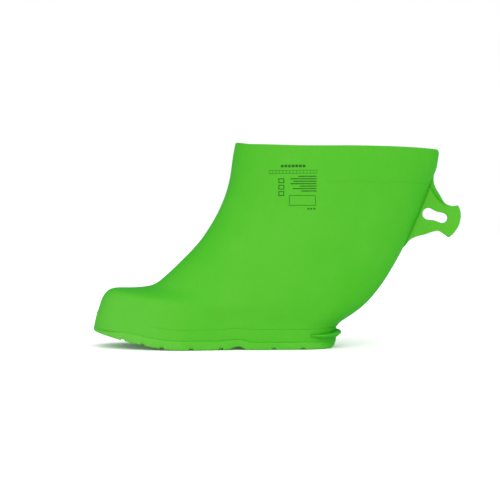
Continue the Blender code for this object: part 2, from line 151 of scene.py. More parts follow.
def clean_copy(node, name):
    """A joined copy of a node's mesh, in quads where that is possible."""
    piece = frame["nodes"][node].copy()
    piece.data = piece.data.copy()
    piece.name = name
    piece.data.name = name
    for key in list(piece.keys()):
        del piece[key]
    piece.parent = None
    bpy.context.scene.collection.objects.link(piece)
    piece.data.materials.clear()
    pick(piece)
    bpy.ops.object.mode_set(mode="EDIT")
    bpy.ops.mesh.select_all(action="SELECT")
    bpy.ops.mesh.remove_doubles(threshold=MERGE)
    bpy.ops.mesh.customdata_custom_splitnormals_clear()
    bpy.ops.mesh.tris_convert_to_quads(face_threshold=QUAD_BEND, shape_threshold=QUAD_SKEW)
    bpy.ops.object.mode_set(mode="OBJECT")
    report(piece)
    return piece


def crease_edges(piece, angle, crease):
    """Gives every edge sharper than the angle a crease that subdivision keeps."""
    bpy.ops.object.mode_set(mode="EDIT")
    sharp = pick_parts(piece, "EDGE", lambda edge: edge.calc_face_angle(0.0) > angle)
    bpy.ops.transform.edge_crease(value=crease)
    bpy.ops.object.mode_set(mode="OBJECT")
    print(piece.name, sharp, "creased edges")


# %% [markdown]
# ## The camera
#
# The photograph looks at the overshoe's outer side from about a metre and a half away, a little above
# half its height, and almost level. So the sole shows as a thin line and the top opening is seen edge on.
# A longer lens than usual gives that flat look.

# %% Place the camera
CAMERA_HEIGHT = 0.160
CAMERA_DISTANCE = 1.600
CAMERA_ALONG = -0.037
AIM_HEIGHT = 0.1314
LENS = 84.5
SENSOR = 36.0

camera_data = bpy.data.cameras.new("camera")
camera_data.lens = LENS
camera_data.sensor_width = SENSOR
camera = bpy.data.objects.new("camera", camera_data)
bpy.context.scene.collection.objects.link(camera)
camera.location = (CAMERA_ALONG, -CAMERA_DISTANCE, CAMERA_HEIGHT)
aim = Vector((CAMERA_ALONG, 0.0, AIM_HEIGHT))
camera.rotation_euler = (aim - camera.location).to_track_quat("-Z", "Y").to_euler()
bpy.context.scene.camera = camera
look_down = math.degrees(math.atan((CAMERA_HEIGHT - AIM_HEIGHT) / CAMERA_DISTANCE))
print("camera looks down by", round(look_down, 2), "degrees")

# %% [markdown]
# ## The upper
#
# The upper is a thin skin, so both of its walls have to stay the same distance apart. It could be drawn
# as one sheet and thickened, but the model's node already has two walls that fit the sole, so the copy
# keeps them. Its inside is left by the core of the mould and gets a finish of its own, so the inner faces
# go to a second material slot. The two edges of the rim are the border: a face inside is picked, and all
# that is linked to it up to the rim. Then these edges are bevelled, because moulded rubber has no sharp
# rim, and the skin is subdivided.

# %% Make the upper's skin
RIM_ROUNDING = 0.8 * MM
RIM_LOWEST = 262 * MM
RIM_TURN = 1.0
INSOLE_HIGHEST = 24 * MM
FACING_UP = 0.9
SHARP_FOLD = math.radians(38)

upper = clean_copy("upper", "rubber_upper")


def on_rim(edge):
    """Whether an edge is one of the two sharp edges of the rim."""
    return min(vertex.co.z for vertex in edge.verts) > RIM_LOWEST and edge.calc_face_angle(0.0) > RIM_TURN


def on_insole(face):
    """Whether a face belongs to the level floor inside the upper."""
    return face.normal.z > FACING_UP and face.calc_center_median().z < INSOLE_HIGHEST


bpy.ops.object.material_slot_add()
bpy.ops.object.material_slot_add()
bpy.ops.object.mode_set(mode="EDIT")
pick_parts(upper, "EDGE", on_rim)
bpy.ops.mesh.mark_seam(clear=False)
pick_parts(upper, "FACE", on_insole)
bpy.ops.mesh.select_linked(delimit={"SEAM"})
upper.active_material_index = 1
bpy.ops.object.material_slot_assign()
rim_edges = pick_parts(upper, "EDGE", on_rim)
bpy.ops.mesh.mark_seam(clear=True)
bpy.ops.mesh.bevel(offset=RIM_ROUNDING, segments=3, affect="EDGES")
bpy.ops.object.mode_set(mode="OBJECT")
inner_faces = sum(face.material_index == 1 for face in upper.data.polygons)
print("rim edges rounded:", rim_edges, "- inner faces:", inner_faces, "of", len(upper.data.polygons))
crease_edges(upper, SHARP_FOLD, 1.0)
apply_modifier(upper, "SUBSURF", levels=2, render_levels=2)
report(upper)

# %% [markdown]
# ## The trim line
#
# High on the shaft runs a fine level line, where a mould for a shorter boot would end. Above it the
# rubber is a hair thicker. Two cuts close together through all the walls give the points for a crisp
# step, and the outer points above them are then pushed out.

# %% Cut the trim line and raise the rubber above it
TRIM_HEIGHT = 221.8 * MM
TRIM_SLOPE = 0.7 * MM
TRIM_STEP = 0.25 * MM
TRIM_START = 52 * MM
TRIM_FADE = 12 * MM
TRIM_REACH = 30 * MM
TRIM_BELT = 12 * MM

bpy.ops.object.mode_set(mode="EDIT")
for height in (TRIM_HEIGHT, TRIM_HEIGHT + TRIM_SLOPE):
    pick_parts(upper, "FACE", lambda face: abs(face.calc_center_median().z - height) < TRIM_BELT)
    bpy.ops.mesh.bisect(plane_co=(0.0, 0.0, height), plane_no=(0.0, 0.0, 1.0))
bpy.ops.object.mode_set(mode="OBJECT")
raised = 0
normals = [vertex.normal.copy() for vertex in upper.data.vertices]
for vertex, normal in zip(upper.data.vertices, normals):
    x, y, z = vertex.co
    if z > TRIM_HEIGHT + 0.5 * TRIM_SLOPE and normal.y * y > 0.0:
        rise = smooth((x - TRIM_START) / TRIM_FADE) * (1.0 - smooth((z - TRIM_HEIGHT) / TRIM_REACH))
        vertex.co += normal * TRIM_STEP * rise
        raised += rise > 0.0
upper.data.update()
print(raised, "points raised above the trim line")

# %% [markdown]
# ## Soft dents
#
# A thin rubber shaft is never quite true: it leans and swells a little between the places that hold it. A
# sculptor would push it with a large soft brush. Here each point is moved sideways by a soft field that
# depends only on its place in the side view, so the outer and the inner wall move together. The push
# fades out towards the front and back edges, which keeps the outline.

# %% Dent the shaft
DENT_DEPTH = 0.7 * MM
DENT_SPREAD = 70 * MM
DENT_LOWEST = 30 * MM
FIELD_GAP = 7.0
EDGE_FADE = 30 * MM


def dent(x, z, side):
    """How far the wall leans out at a place in the side view, from a soft noise. Each side has its own."""
    spot = Vector((x / DENT_SPREAD, FIELD_GAP * side, z / DENT_SPREAD))
    return DENT_DEPTH * noise.noise(spot) * smooth((z - DENT_LOWEST) / DENT_SPREAD)


for vertex in upper.data.vertices:
    x, y, z = vertex.co
    side = 1.0 if y > 0.0 else -1.0
    vertex.co.y += side * dent(x, z, side) * smooth(abs(y) / EDGE_FADE)
upper.data.update()
print("dents up to", round(DENT_DEPTH / MM, 2), "mm")

# %% [markdown]
# ## A slack rim and a full heel
#
# Seen from the side, the rim isn't quite straight. Behind the front corner it sags, then it bows up a
# little on its way back and drops to the back corner. Below that corner the back edge bulges out before
# it meets the tab, and just above the sole the heel is a little fuller than a straight wall. A sculptor
# would pull these with a grab brush, so each is a soft move that fades out with the distance.

# %% Bow the rim
RIM_BOW = 1.0 * MM
BOW_TOP = 158 * MM
BOW_REACH = 95 * MM
RIM_SAG = 2.3 * MM
SAG_START = -57 * MM
SAG_RUN = 21 * MM
SAG_END = 15 * MM
SAG_FADE = 90 * MM
BOW_LOWEST = 210 * MM
BOW_FADE = 60 * MM

for vertex in upper.data.vertices:
    x, y, z = vertex.co
    bow = RIM_BOW * smooth(1.0 - abs(x - BOW_TOP) / BOW_REACH)
    sag = RIM_SAG * smooth((x - SAG_START) / SAG_RUN) * (1.0 - smooth((x - SAG_END) / SAG_FADE))
    vertex.co.z += (bow - sag) * smooth((z - BOW_LOWEST) / BOW_FADE)
upper.data.update()
print("rim bowed up by", round(RIM_BOW / MM, 1), "mm and sagging by", round(RIM_SAG / MM, 1), "mm")

# %% Bulge the back edge and fill the heel
BACK_BULGE = 1.9 * MM
BULGE_TOP = 268 * MM
BULGE_TOP_FADE = 5 * MM
BULGE_LOW = 230 * MM
BULGE_LOW_FADE = 14 * MM
BULGE_START = 186 * MM
BULGE_RUN = 28 * MM
HEEL_FILL = 1.6 * MM
FILL_LOW = 24 * MM
FILL_LOW_FADE = 6 * MM
FILL_HIGH = 40 * MM
FILL_HIGH_FADE = 38 * MM
FILL_START = 55 * MM
FILL_RUN = 25 * MM

for vertex in upper.data.vertices:
    x, y, z = vertex.co
    bulge = smooth((BULGE_TOP - z) / BULGE_TOP_FADE) * smooth((z - BULGE_LOW) / BULGE_LOW_FADE)
    fill = smooth((z - FILL_LOW) / FILL_LOW_FADE) * (1.0 - smooth((z - FILL_HIGH) / FILL_HIGH_FADE))
    vertex.co.x += BACK_BULGE * bulge * smooth((x - BULGE_START) / BULGE_RUN)
    vertex.co.x += HEEL_FILL * fill * smooth((x - FILL_START) / FILL_RUN)
upper.data.update()
print("back edge bulged by", round(BACK_BULGE / MM, 1), "mm, heel filled by", round(HEEL_FILL / MM, 1), "mm")

# %% [markdown]
# ## The lines round the foot
#
# Under the waist of the foot the tread arches up off the floor, and the two lines round the foot rise
# with it. Behind the arch the tread is thinner, so the lower line runs closer to the floor. One function
# gives the rise along the foot and another one the drop. The upper takes them at its lower edge and less
# and less above, and the sole takes them at its top and not at all underneath.

# %% Move the lines round the foot
ARCH_MIDDLE = -54 * MM
ARCH_REACH = 25 * MM
ARCH_RISE = 2.0 * MM
ARCH_FADE_START = 28 * MM
ARCH_FADE = 34 * MM
HEEL_DROP = 2.3 * MM
DROP_START = -50 * MM
DROP_RUN = 16 * MM
DROP_FADE_START = 13 * MM
DROP_FADE = 12 * MM


def arch_rise(x):
    """How far the lines round the foot rise at a place along it."""
    return ARCH_RISE * smooth(1.0 - abs(x - ARCH_MIDDLE) / ARCH_REACH)


def heel_drop(x):
    """How much closer to the floor the lower line runs at a place along the foot."""
    return HEEL_DROP * smooth((x - DROP_START) / DROP_RUN)


for vertex in upper.data.vertices:
    x, y, z = vertex.co
    vertex.co.z += arch_rise(x) * (1.0 - smooth((z - ARCH_FADE_START) / ARCH_FADE))
    vertex.co.z -= heel_drop(x) * (1.0 - smooth((z - DROP_FADE_START) / DROP_FADE))
upper.data.update()
print("lines rise by", round(ARCH_RISE / MM, 1), "mm over the arch")
print("lower line drops by", round(HEEL_DROP / MM, 1), "mm behind it")

# %% [markdown]
# ## The band melts at the toe
#
# The raised band round the foot is clear along the sides, but at the toe it runs out into the round nose.
# A vertex group says where, and a smoothing modifier that reads this group melts the step there. The
# group is full at the nose and fades to nothing where the band shows. Then the nose is filled out as by a
# grab brush, and it flares a little to its lower edge, so that it meets the sole without a step.

# %% Melt the band at the toe
MELT_START = -160 * MM
MELT_FULL = -188 * MM
MELT_LOW = 25 * MM
MELT_LOW_FADE = 6 * MM
MELT_HIGH = 66 * MM
MELT_HIGH_FADE = 12 * MM
MELT_PASSES = 30

nose = upper.vertex_groups.new(name="nose")
for vertex in upper.data.vertices:
    x, y, z = vertex.co
    share = smooth((MELT_START - x) / (MELT_START - MELT_FULL))
    share *= smooth((z - MELT_LOW) / MELT_LOW_FADE) * smooth((MELT_HIGH - z) / MELT_HIGH_FADE)
    if share > 0.0:
        nose.add([vertex.index], share, "REPLACE")
apply_modifier(upper, "SMOOTH", factor=0.5, iterations=MELT_PASSES, vertex_group="nose")
upper.vertex_groups.clear()
print("band melted in front of", round(MELT_START / MM), "mm")

# %% Fill out the nose
NOSE_PLACE = Vector((-228 * MM, 73 * MM))
NOSE_RADIUS = 36 * MM
NOSE_PULL = Vector((-3.2 * MM, 1.5 * MM))

for vertex in upper.data.vertices:
    share = smooth(1.0 - (Vector((vertex.co.x, vertex.co.z)) - NOSE_PLACE).length / NOSE_RADIUS)
    vertex.co.x += NOSE_PULL.x * share
    vertex.co.z += NOSE_PULL.y * share
upper.data.update()
print("nose filled out by", round(NOSE_PULL.length / MM, 1), "mm")

# %% Flare the nose
FLARE = 1.3 * MM
FLARE_START = -195 * MM
FLARE_FULL = -235 * MM
FLARE_LOW = 26 * MM
FLARE_HEIGHT = 40 * MM
FLARE_TURN = 0.1
FLARE_TURN_RUN = 0.3

normals = [vertex.normal.copy() for vertex in upper.data.vertices]
for vertex, normal in zip(upper.data.vertices, normals):
    x, y, z = vertex.co
    share = smooth((FLARE_START - x) / (FLARE_START - FLARE_FULL))
    share *= 1.0 - smooth((z - FLARE_LOW) / FLARE_HEIGHT)
    share *= smooth((-FLARE_TURN - normal.x) / FLARE_TURN_RUN)
    if share > 0.0:
        vertex.co += Vector((normal.x, normal.y, 0.0)).normalized() * FLARE * share
upper.data.update()
print("nose flared by", round(FLARE / MM, 1), "mm")

# %% Set the upper in its place
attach(upper, "root")
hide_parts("upper")
skin = surface_of(upper)

# %% [markdown]
# ## The tread sole
#
# The sole is the thickest rubber of all, and its notches open on its edge. Its upper face is raised a
# little, so that it closes against the upper and leaves only the fine line where the two shapes of the
# mould meet. Its notches are made a little shallower, because worn cleats show less of them. A bevel
# rounds the edges of its cleats as a mould does. The rolled edge at the back of the heel is filled out to
# a smaller radius.

# %% Make the sole
CLEAT_ROUNDING = 0.35 * MM
SEAM_FACING = 0.8
SEAM_LIFT = 0.45 * MM
SOLE_TOP = 12 * MM
NOTCH_DEPTH = 2.5 * MM
NOTCH_REACH = 0.4 * MM
NOTCH_FILL = 0.6 * MM
ARCH_FRONT = -74 * MM
ARCH_BACK = -34 * MM
TOE_SPRING = 22.5 * MM
SPRING_START = -134.5 * MM
SPRING_LENGTH = 116 * MM
SPRING_POWER = 1.3
HEEL_START = 56 * MM
HEEL_RUN = 14 * MM
HEEL_FULLNESS = 0.45
HEEL_PUSH = 1.2 * MM
HEEL_PULL = 1.6 * MM

sole = clean_copy("outsole", "tread_sole")
bpy.ops.object.mode_set(mode="EDIT")
seam_faces = pick_parts(sole, "FACE", lambda face: face.normal.z > SEAM_FACING)
bpy.ops.transform.translate(value=(0.0, 0.0, SEAM_LIFT))
bpy.ops.object.mode_set(mode="OBJECT")
print(seam_faces, "upper faces raised")


def tread_height(x):
    """How high the tread's lowest face is over the floor: it rises in front of the ball of the foot."""
    return TOE_SPRING * max(0.0, (SPRING_START - x) / SPRING_LENGTH) ** SPRING_POWER


shallower = 0
for vertex in sole.data.vertices:
    x, y, z = vertex.co
    if abs(z - tread_height(x) - NOTCH_DEPTH) < NOTCH_REACH and not ARCH_FRONT < x < ARCH_BACK:
        vertex.co.z -= NOTCH_FILL
        shallower += 1
print(shallower, "notch points lowered")
apply_modifier(sole, "BEVEL", width=CLEAT_ROUNDING, segments=2, limit_method="ANGLE", angle_limit=SHARP_FOLD)
crease_edges(sole, SHARP_FOLD, 1.0)
apply_modifier(sole, "SUBSURF", levels=1, render_levels=1)
for vertex in sole.data.vertices:
    x, y, z = vertex.co
    heel = smooth((x - HEEL_START) / HEEL_RUN)
    low = 1.0 - smooth(z / SOLE_TOP)
    vertex.co.z += (arch_rise(x) - heel_drop(x)) * (1.0 - low) - HEEL_FULLNESS * z * heel * low
    vertex.co.x += heel * (HEEL_PUSH * low - HEEL_PULL * (1.0 - low))
sole.data.update()
report(sole)
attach(sole, "root")
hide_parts("outsole")

# %% [markdown]
# ## The heel ledge
#
# The ledge sticks out round the heel, so that the other foot can hold the overshoe down by it. Its lip
# has a tight edge that catches the light, so it is bevelled narrowly before it is subdivided. Along the
# sides of the heel its top is nearly flat, so the upper half is squeezed down to the lip there. It is
# moulded on, so its inner side is pushed into the heel until no gap is left.

# %% Make the heel ledge
SEAT_REACH = 0.6 * MM
SEAT_DEPTH = 0.3 * MM
LIP_ROUNDING = 0.5 * MM
LIP_TURN = math.radians(25)
LIP_CREASE = 0.7
LIP_HEIGHT = 19.3 * MM
LIP_SQUEEZE = 0.6
SQUEEZE_START = 68 * MM
SQUEEZE_RUN = 15 * MM


def seat(piece, reach, depth):
    """Moves the points that lie near the upper's skin to just inside it."""
    moved = 0
    for vertex in piece.data.vertices:
        spot, normal, face, distance = skin.find_nearest(vertex.co, reach)
        if spot is not None:
            vertex.co = spot - normal * depth
            moved += 1
    piece.data.update()
    print(piece.name, moved, "points seated")


ledge = clean_copy("heel_spur", "heel_ledge")
apply_modifier(ledge, "BEVEL", width=LIP_ROUNDING, segments=2, limit_method="ANGLE", angle_limit=SHARP_FOLD)
crease_edges(ledge, LIP_TURN, LIP_CREASE)
apply_modifier(ledge, "SUBSURF", levels=2, render_levels=2)
for vertex in ledge.data.vertices:
    side = 1.0 - smooth((vertex.co.x - SQUEEZE_START) / SQUEEZE_RUN)
    vertex.co.z -= LIP_SQUEEZE * side * max(0.0, vertex.co.z - LIP_HEIGHT)
seat(ledge, SEAT_REACH, SEAT_DEPTH)
report(ledge)
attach(ledge, "root")
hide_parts("heel_spur")

# %% [markdown]
# ## The pull tab
#
# The tab is a flat tongue with a slot of two round lobes, and a thick bead along its upper edge. On the
# real one these run together without a seam. A voxel remesh turns the copy into one even skin, smoothing
# melts its edges, and a small outward push gives back what the smoothing took. Then the skin is worked as
# with a brush: both ends of the root sink softly into the shaft, the tongue's outline is drawn in at
# three places, and a valley is pressed in along the lower side of the bead.

# %% Make the pull tab
TAB_VOXEL = 0.5 * MM
TAB_SMOOTHING = 4
TAB_GROWTH = 0.15 * MM
ROOT_REACH = 1.2 * MM
ROOT_DEPTH = 0.6 * MM

tab = clean_copy("pull_tab", "pull_tab_rubber")
apply_modifier(tab, "REMESH", mode="VOXEL", voxel_size=TAB_VOXEL, use_smooth_shade=True)
apply_modifier(tab, "SMOOTH", factor=0.5, iterations=TAB_SMOOTHING)
apply_modifier(tab, "DISPLACE", strength=TAB_GROWTH, mid_level=0.0)
seat(tab, ROOT_REACH, ROOT_DEPTH)
report(tab)

# %% Sink the ends of the root into the shaft
TIP_DEPTH = 0.5 * MM
TIP_LENGTH = 9 * MM
TIP_SHARE = 0.6
ROOT_BOTTOM = 142 * MM
BOTTOM_RUN = 12 * MM
ROOT_BACK = 190 * MM
BACK_RUN = 15 * MM
ROOT_TOP = 237.5 * MM
TOP_RUN = 31 * MM
TOP_POWER = 0.6

lowest = min(vertex.co.z for vertex in tab.data.vertices)
sunk = 0
for vertex in tab.data.vertices:
    x, y, z = vertex.co
    rising = TIP_SHARE + (1.0 - TIP_SHARE) * smooth((z - ROOT_BOTTOM) / BOTTOM_RUN)
    bottom = min((z - lowest) / TIP_LENGTH, rising)
    top = (max(0.0, ROOT_TOP - z) / TOP_RUN) ** TOP_POWER
    share = min(top, max(bottom, smooth((x - ROOT_BACK) / BACK_RUN)))
    if share < 1.0:
        spot, normal, face, distance = skin.find_nearest(vertex.co)
        target = spot - normal * TIP_DEPTH
        vertex.co = target.lerp(vertex.co, share)
        sunk += 1
tab.data.update()
print(sunk, "points of the root's ends sunk")

# %% Draw the outline of the tongue in
# Each grab: its place in the side view, its radius, and the pull back and up, all in millimetres.
GRABS = ((238, 191, 12, 0.0, 1.2), (248, 170, 14, -1.0, 0.0), (243, 158, 14, -1.0, 0.6))

grabbed = 0
for vertex in tab.data.vertices:
    spot = Vector((vertex.co.x, vertex.co.z))
    for x, z, radius, pull_x, pull_z in GRABS:
        share = smooth(1.0 - (spot - Vector((x * MM, z * MM))).length / (radius * MM))
        vertex.co.x += pull_x * MM * share
        vertex.co.z += pull_z * MM * share
        grabbed += share > 0.0
tab.data.update()
print(grabbed, "points grabbed on the tongue's outline")

# %% Press in the valley below the bead
VALLEY = ((206.5, 218.5), (209.2, 214.3), (213.4, 207.6), (218.0, 201.2), (222.9, 196.2), (227.6, 192.6),
          (232.0, 191.2))
VALLEY_DEPTH = 1.3 * MM
VALLEY_WIDTH = 1.2 * MM
VALLEY_REACH = 3.0 * VALLEY_WIDTH
VALLEY_FADE = 5 * MM
VALLEY_FLOOR = 0.75
FAR_AWAY = 1.0
valley = [Vector((x * MM, z * MM)) for x, z in VALLEY]


def from_valley(spot):
    """How far a place is from the valley, how much of the valley is left, and if the place is on the bead."""
    nearest = (FAR_AWAY, 0.0, False)
    walked = 0.0
    for start, end in zip(valley, valley[1:]):
        run = end - start
        share = min(1.0, max(0.0, (spot - start).dot(run) / run.length_squared))
        away = spot - start - run * share
        nearest = min(nearest, (away.length, walked + share * run.length, away.x + away.y > 0.0))
        walked += run.length
    return nearest[0], walked - nearest[1], nearest[2]


pressed = 0
for vertex in tab.data.vertices:
    x, y, z = vertex.co
    away, left, on_bead = from_valley(Vector((x, z)))
    if away < VALLEY_REACH:
        push = VALLEY_DEPTH * math.exp(-((away / VALLEY_WIDTH) ** 2)) * smooth(left / VALLEY_FADE)
        vertex.co.y -= math.copysign(min(push, VALLEY_FLOOR * abs(y)), y)
        pressed += 1
tab.data.update()
print(pressed, "points pressed for the valley")
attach(tab, "root")
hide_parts("pull_tab")

# %% [markdown]
# ## Painted shade in the crevices
#
# Where one form grows out of another, shade falls, and here that shade is painted into the colour as a
# deeper green. So each point of a piece stores how close it lies to the pieces that it meets: the upper
# and the sole to the ledge, the upper to the tab too, and the ledge and the tab to the upper. The rubber
# material reads this attribute and mixes in the painted shade. It is weak at the ledge's shallow ends, and
# fades out where the bead flows into the shaft without a crease. The bead gets some painted shade too,
# along its side of the valley.

# %% Mark the painted shade in the crevices
CREVICE_START = 52 * MM
CREVICE_RUN = 26 * MM
CREVICE_WEAK = 0.2
CREVICE_TOP = 213 * MM
CREVICE_FADE = 9 * MM
CREVICE_POWER = 1.5
REACH_ROUND_PIECES = 11 * MM
REACH_ON_SOLE = 14 * MM
REACH_ON_LEDGE = 4.5 * MM
REACH_ON_TAB = 4 * MM


def mark_crevice_shade(piece, meets, reach):
    """Stores how close other surfaces are, as a share of painted shade: 1 at contact, 0 at the reach."""
    crevice_shade = piece.data.attributes.new("crevice_shade", "FLOAT", "POINT")
    marked = 0
    for vertex in piece.data.vertices:
        for surface in meets:
            spot, normal, face, distance = surface.find_nearest(vertex.co, reach)
            if spot is not None and vertex.normal.dot(spot - vertex.co) > -SEAT_DEPTH:
                value = (1.0 - distance / reach) ** CREVICE_POWER
                backward = smooth((vertex.co.x - CREVICE_START) / CREVICE_RUN)
                value *= CREVICE_WEAK + (1.0 - CREVICE_WEAK) * backward
                value *= 1.0 - smooth((vertex.co.z - CREVICE_TOP) / CREVICE_FADE)
                crevice_shade.data[vertex.index].value = max(value, crevice_shade.data[vertex.index].value)
                marked += 1
    print(piece.name, marked, "points in crevices")


mark_crevice_shade(upper, [surface_of(ledge), surface_of(tab)], REACH_ROUND_PIECES)
mark_crevice_shade(sole, [surface_of(ledge)], REACH_ON_SOLE)
mark_crevice_shade(ledge, [skin], REACH_ON_LEDGE)
mark_crevice_shade(tab, [skin], REACH_ON_TAB)

# %% Paint shade on the bead beside the valley
# How much painted shade the bead gets beside the valley, stored with the crevice shade.
BEAD_SHADE = 0.35

deepened = 0
for vertex in tab.data.vertices:
    away, left, on_bead = from_valley(Vector((vertex.co.x, vertex.co.z)))
    if on_bead and vertex.co.x < valley[-1].x:
        shade_point = tab.data.attributes["crevice_shade"].data[vertex.index]
        shade_point.value = max(shade_point.value, BEAD_SHADE * smooth(left / VALLEY_FADE))
        deepened += 1
print(deepened, "points of the bead deepened")

# %% [markdown]
# ## Painted shade on the turning edges
#
# Most of the light comes from in front of the broad sides. Where the form turns to its front, its back,
# its top or its underside, it turns away from that light, and that shade is painted into the colour as a
# deeper green. The back gets more of it. How far a place turns away from the broad side is told by its
# normal alone. The value is stored on the points, as a painter would keep it in a vertex colour layer.

# %% Mark the painted shade on the turning edges
# How fast the painted edge shade rises as the form turns, and how much more of it the back gets.
EDGE_SHADE_FALLOFF = 1.19
BACK_SHADE = 0.14


def mark_edge_shade(piece):
    """Stores how far the points turn from the broad side, as painted shade: 0 on it, 1 at right angles to it.
    """
    edge = piece.data.attributes.new("edge", "FLOAT", "POINT")
    values = []
    for vertex in piece.data.vertices:
        broad = abs(vertex.normal.y) - BACK_SHADE * vertex.normal.x
        values.append(1.0 - min(1.0, max(0.0, broad)) ** EDGE_SHADE_FALLOFF)
    edge.data.foreach_set("value", values)
    print(piece.name, "turns away by", round(sum(values) / len(values), 2), "on average")


for piece in (upper, sole, ledge, tab):
    mark_edge_shade(piece)

# %% [markdown]
# ## The printed panel
#
# A plain panel of squares, cells, bars and boxes is printed on the outer side of the shaft. It could be
# painted into the material, but then its edges would blur close up. So it is modelled as what it is, a
# very thin film of ink: flat grids are laid out in front of the wall, joined, thrown onto it like a slide
# from a projector, and given the thickness of a film. A thin line needs enough cuts along its length to
# follow the curved wall.

# %% Lay out the panel
PRINT_PLANE = -90 * MM
PRINT_CUT = 2.0
UPRIGHT = (math.radians(90), 0.0, 0.0)
# Each grid: its width, its height and its middle in the side view. These and the cut are in millimetres.
HEADING = [(3.6, 3.4, 5.4 + 4.7 * step, 242.6) for step in range(7)]
CELLS = [(0.45, 3.6, -12.0 + 4.5 * step, 235.0) for step in range(1, 14)]
ROWS = [(length, 1.3, 50.0 - 0.5 * length, 229.0 - 3.2 * step)
        for step, length in enumerate((24.0, 34.0, 30.0, 34.0, 22.0, 31.0, 20.0))]
ENDS = [(2.4, 2.2, 39.4 + 4.0 * step, 186.6) for step in range(3)]
# Each box: the same, and the width of its line.
TICK_BOXES = [(7.6, 6.2, 4.2, 223.4 - 8.4 * step, 1.1) for step in range(3)]
BOXES = ((63.0, 4.5, 19.5, 235.0, 0.45), *TICK_BOXES, (34.6, 13.4, 31.6, 197.5, 0.65))
print_pieces = []


def add_print(width, height, x, z):
    """Adds a flat grid in front of the wall, at a place in the side view."""
    across = max(1, round(width / PRINT_CUT))
    upward = max(1, round(height / PRINT_CUT))
    bpy.ops.object.select_all(action="DESELECT")
    bpy.ops.mesh.primitive_grid_add(x_subdivisions=across, y_subdivisions=upward, size=1.0,
                                    location=(x * MM, PRINT_PLANE, z * MM), rotation=UPRIGHT)
    piece = bpy.context.active_object
    piece.scale = (width * MM, height * MM, 1.0)
    bpy.ops.object.transform_apply(location=True, rotation=True, scale=True)
    print_pieces.append(piece)


for width, height, x, z in (*HEADING, *CELLS, *ROWS, *ENDS):
    add_print(width, height, x, z)
for width, height, x, z, line in BOXES:
    for side in (-1, 1):
        add_print(width, line, x, z + side * 0.5 * (height - line))
        add_print(line, height - 2.0 * line, x + side * 0.5 * (width - line), z)
print(len(print_pieces), "flat pieces laid out")

# %% Throw the panel onto the wall
INK_LIFT = 0.09 * MM
INK_FILM = 0.05 * MM

bpy.ops.object.select_all(action="DESELECT")
for piece in print_pieces:
    piece.select_set(True)
panel = print_pieces[0]
bpy.context.view_layer.objects.active = panel
bpy.ops.object.join()
panel.name = "ink_panel"
panel.data.name = "ink_panel"
apply_modifier(panel, "SHRINKWRAP", target=upper, wrap_method="PROJECT", wrap_mode="ABOVE_SURFACE",
               use_project_y=True, use_positive_direction=True, use_negative_direction=False, offset=INK_LIFT)
apply_modifier(panel, "SOLIDIFY", thickness=INK_FILM, offset=-1.0)
report(panel)
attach(panel, "root")

# %% [markdown]
# ## Even shading
#
# Moulded rubber shows no facets. So every rubber piece is shaded smooth, apart from edges that are still
# sharp. The ink is left flat, because its film is far too thin to show any rounding.

# %% Shade the rubber pieces smooth
SHARP = math.radians(50)

rubber_pieces = [upper, sole, ledge, tab]
for piece in rubber_pieces:
    pick(piece)
    bpy.ops.object.shade_smooth_by_angle(angle=SHARP)
print(len(rubber_pieces), "pieces shaded smooth")

# %% [markdown]
# ## Moulded rubber
#
# The rubber's colour comes from the whole thickness, so it has no paint edges. Three things keep it from
# looking flat: the tone drifts a little over a hand's width, where the moulding cooled at different
# speeds; a faint pale bloom lies in patches; and the surface has the fine grain of the mould with a slight
# waviness. A paler patch on the toe is a painted highlight of the light from above. One node group makes
# all of these, and each material gives it its own values. First come helpers that make a group and its
# usual nodes.

# %% Helpers for nodes
def new_group(name, inputs, outputs):
    """A shader node group with these sockets, and its nodes for input and output."""
    group = bpy.data.node_groups.new(name, "ShaderNodeTree")
    for socket_name, kind, default in inputs:
        socket = group.interface.new_socket(name=socket_name, in_out="INPUT", socket_type=kind)
        socket.default_value = default
    for socket_name, kind in outputs:
        group.interface.new_socket(name=socket_name, in_out="OUTPUT", socket_type=kind)
    return group, group.nodes.new("NodeGroupInput"), group.nodes.new("NodeGroupOutput")


def add_noise(tree, coordinates, scale, detail, roughness=0.5):
    """A noise texture that reads the given coordinates."""
    node = tree.nodes.new("ShaderNodeTexNoise")
    node.inputs["Scale"].default_value = scale
    node.inputs["Detail"].default_value = detail
    node.inputs["Roughness"].default_value = roughness
    tree.links.new(coordinates, node.inputs["Vector"])
    return node.outputs["Fac"]


def add_range(tree, value, low, high, to_low, to_high):
    """A map range node: low..high of the value becomes to_low..to_high."""
    node = tree.nodes.new("ShaderNodeMapRange")
    tree.links.new(value, node.inputs["Value"])
    for socket, number in (("From Min", low), ("From Max", high), ("To Min", to_low), ("To Max", to_high)):
        if isinstance(number, float):
            node.inputs[socket].default_value = number
        else:
            tree.links.new(number, node.inputs[socket])
    return node.outputs["Result"]


def add_mix(tree, factor, first, second):
    """A colour mix of two colours by a factor."""
    node = tree.nodes.new("ShaderNodeMix")
    node.data_type = "RGBA"
    for socket, source in ((0, factor), (6, first), (7, second)):
        if isinstance(source, (float, tuple)):
            node.inputs[socket].default_value = source
        else:
            tree.links.new(source, node.inputs[socket])
    return node.outputs[2]


def add_math(tree, operation, first, second):
    """A math node on two values."""
    node = tree.nodes.new("ShaderNodeMath")
    node.operation = operation
    for socket, source in ((0, first), (1, second)):
        if isinstance(source, float):
            node.inputs[socket].default_value = source
        else:
            tree.links.new(source, node.inputs[socket])
    return node.outputs[0]


# %% A node group for moulded rubber
DRIFT_SCALE = 9.0
PATCH_SCALE = 28.0
WAVE_SCALE = 55.0
GRAIN_SCALE = 1400.0
GRAIN_SHARE = 0.06
# The toe's paler patch is a painted highlight: it starts here and is full towards the toe.
TOE_HIGHLIGHT_START = -0.12
TOE_HIGHLIGHT_FULL = -0.22

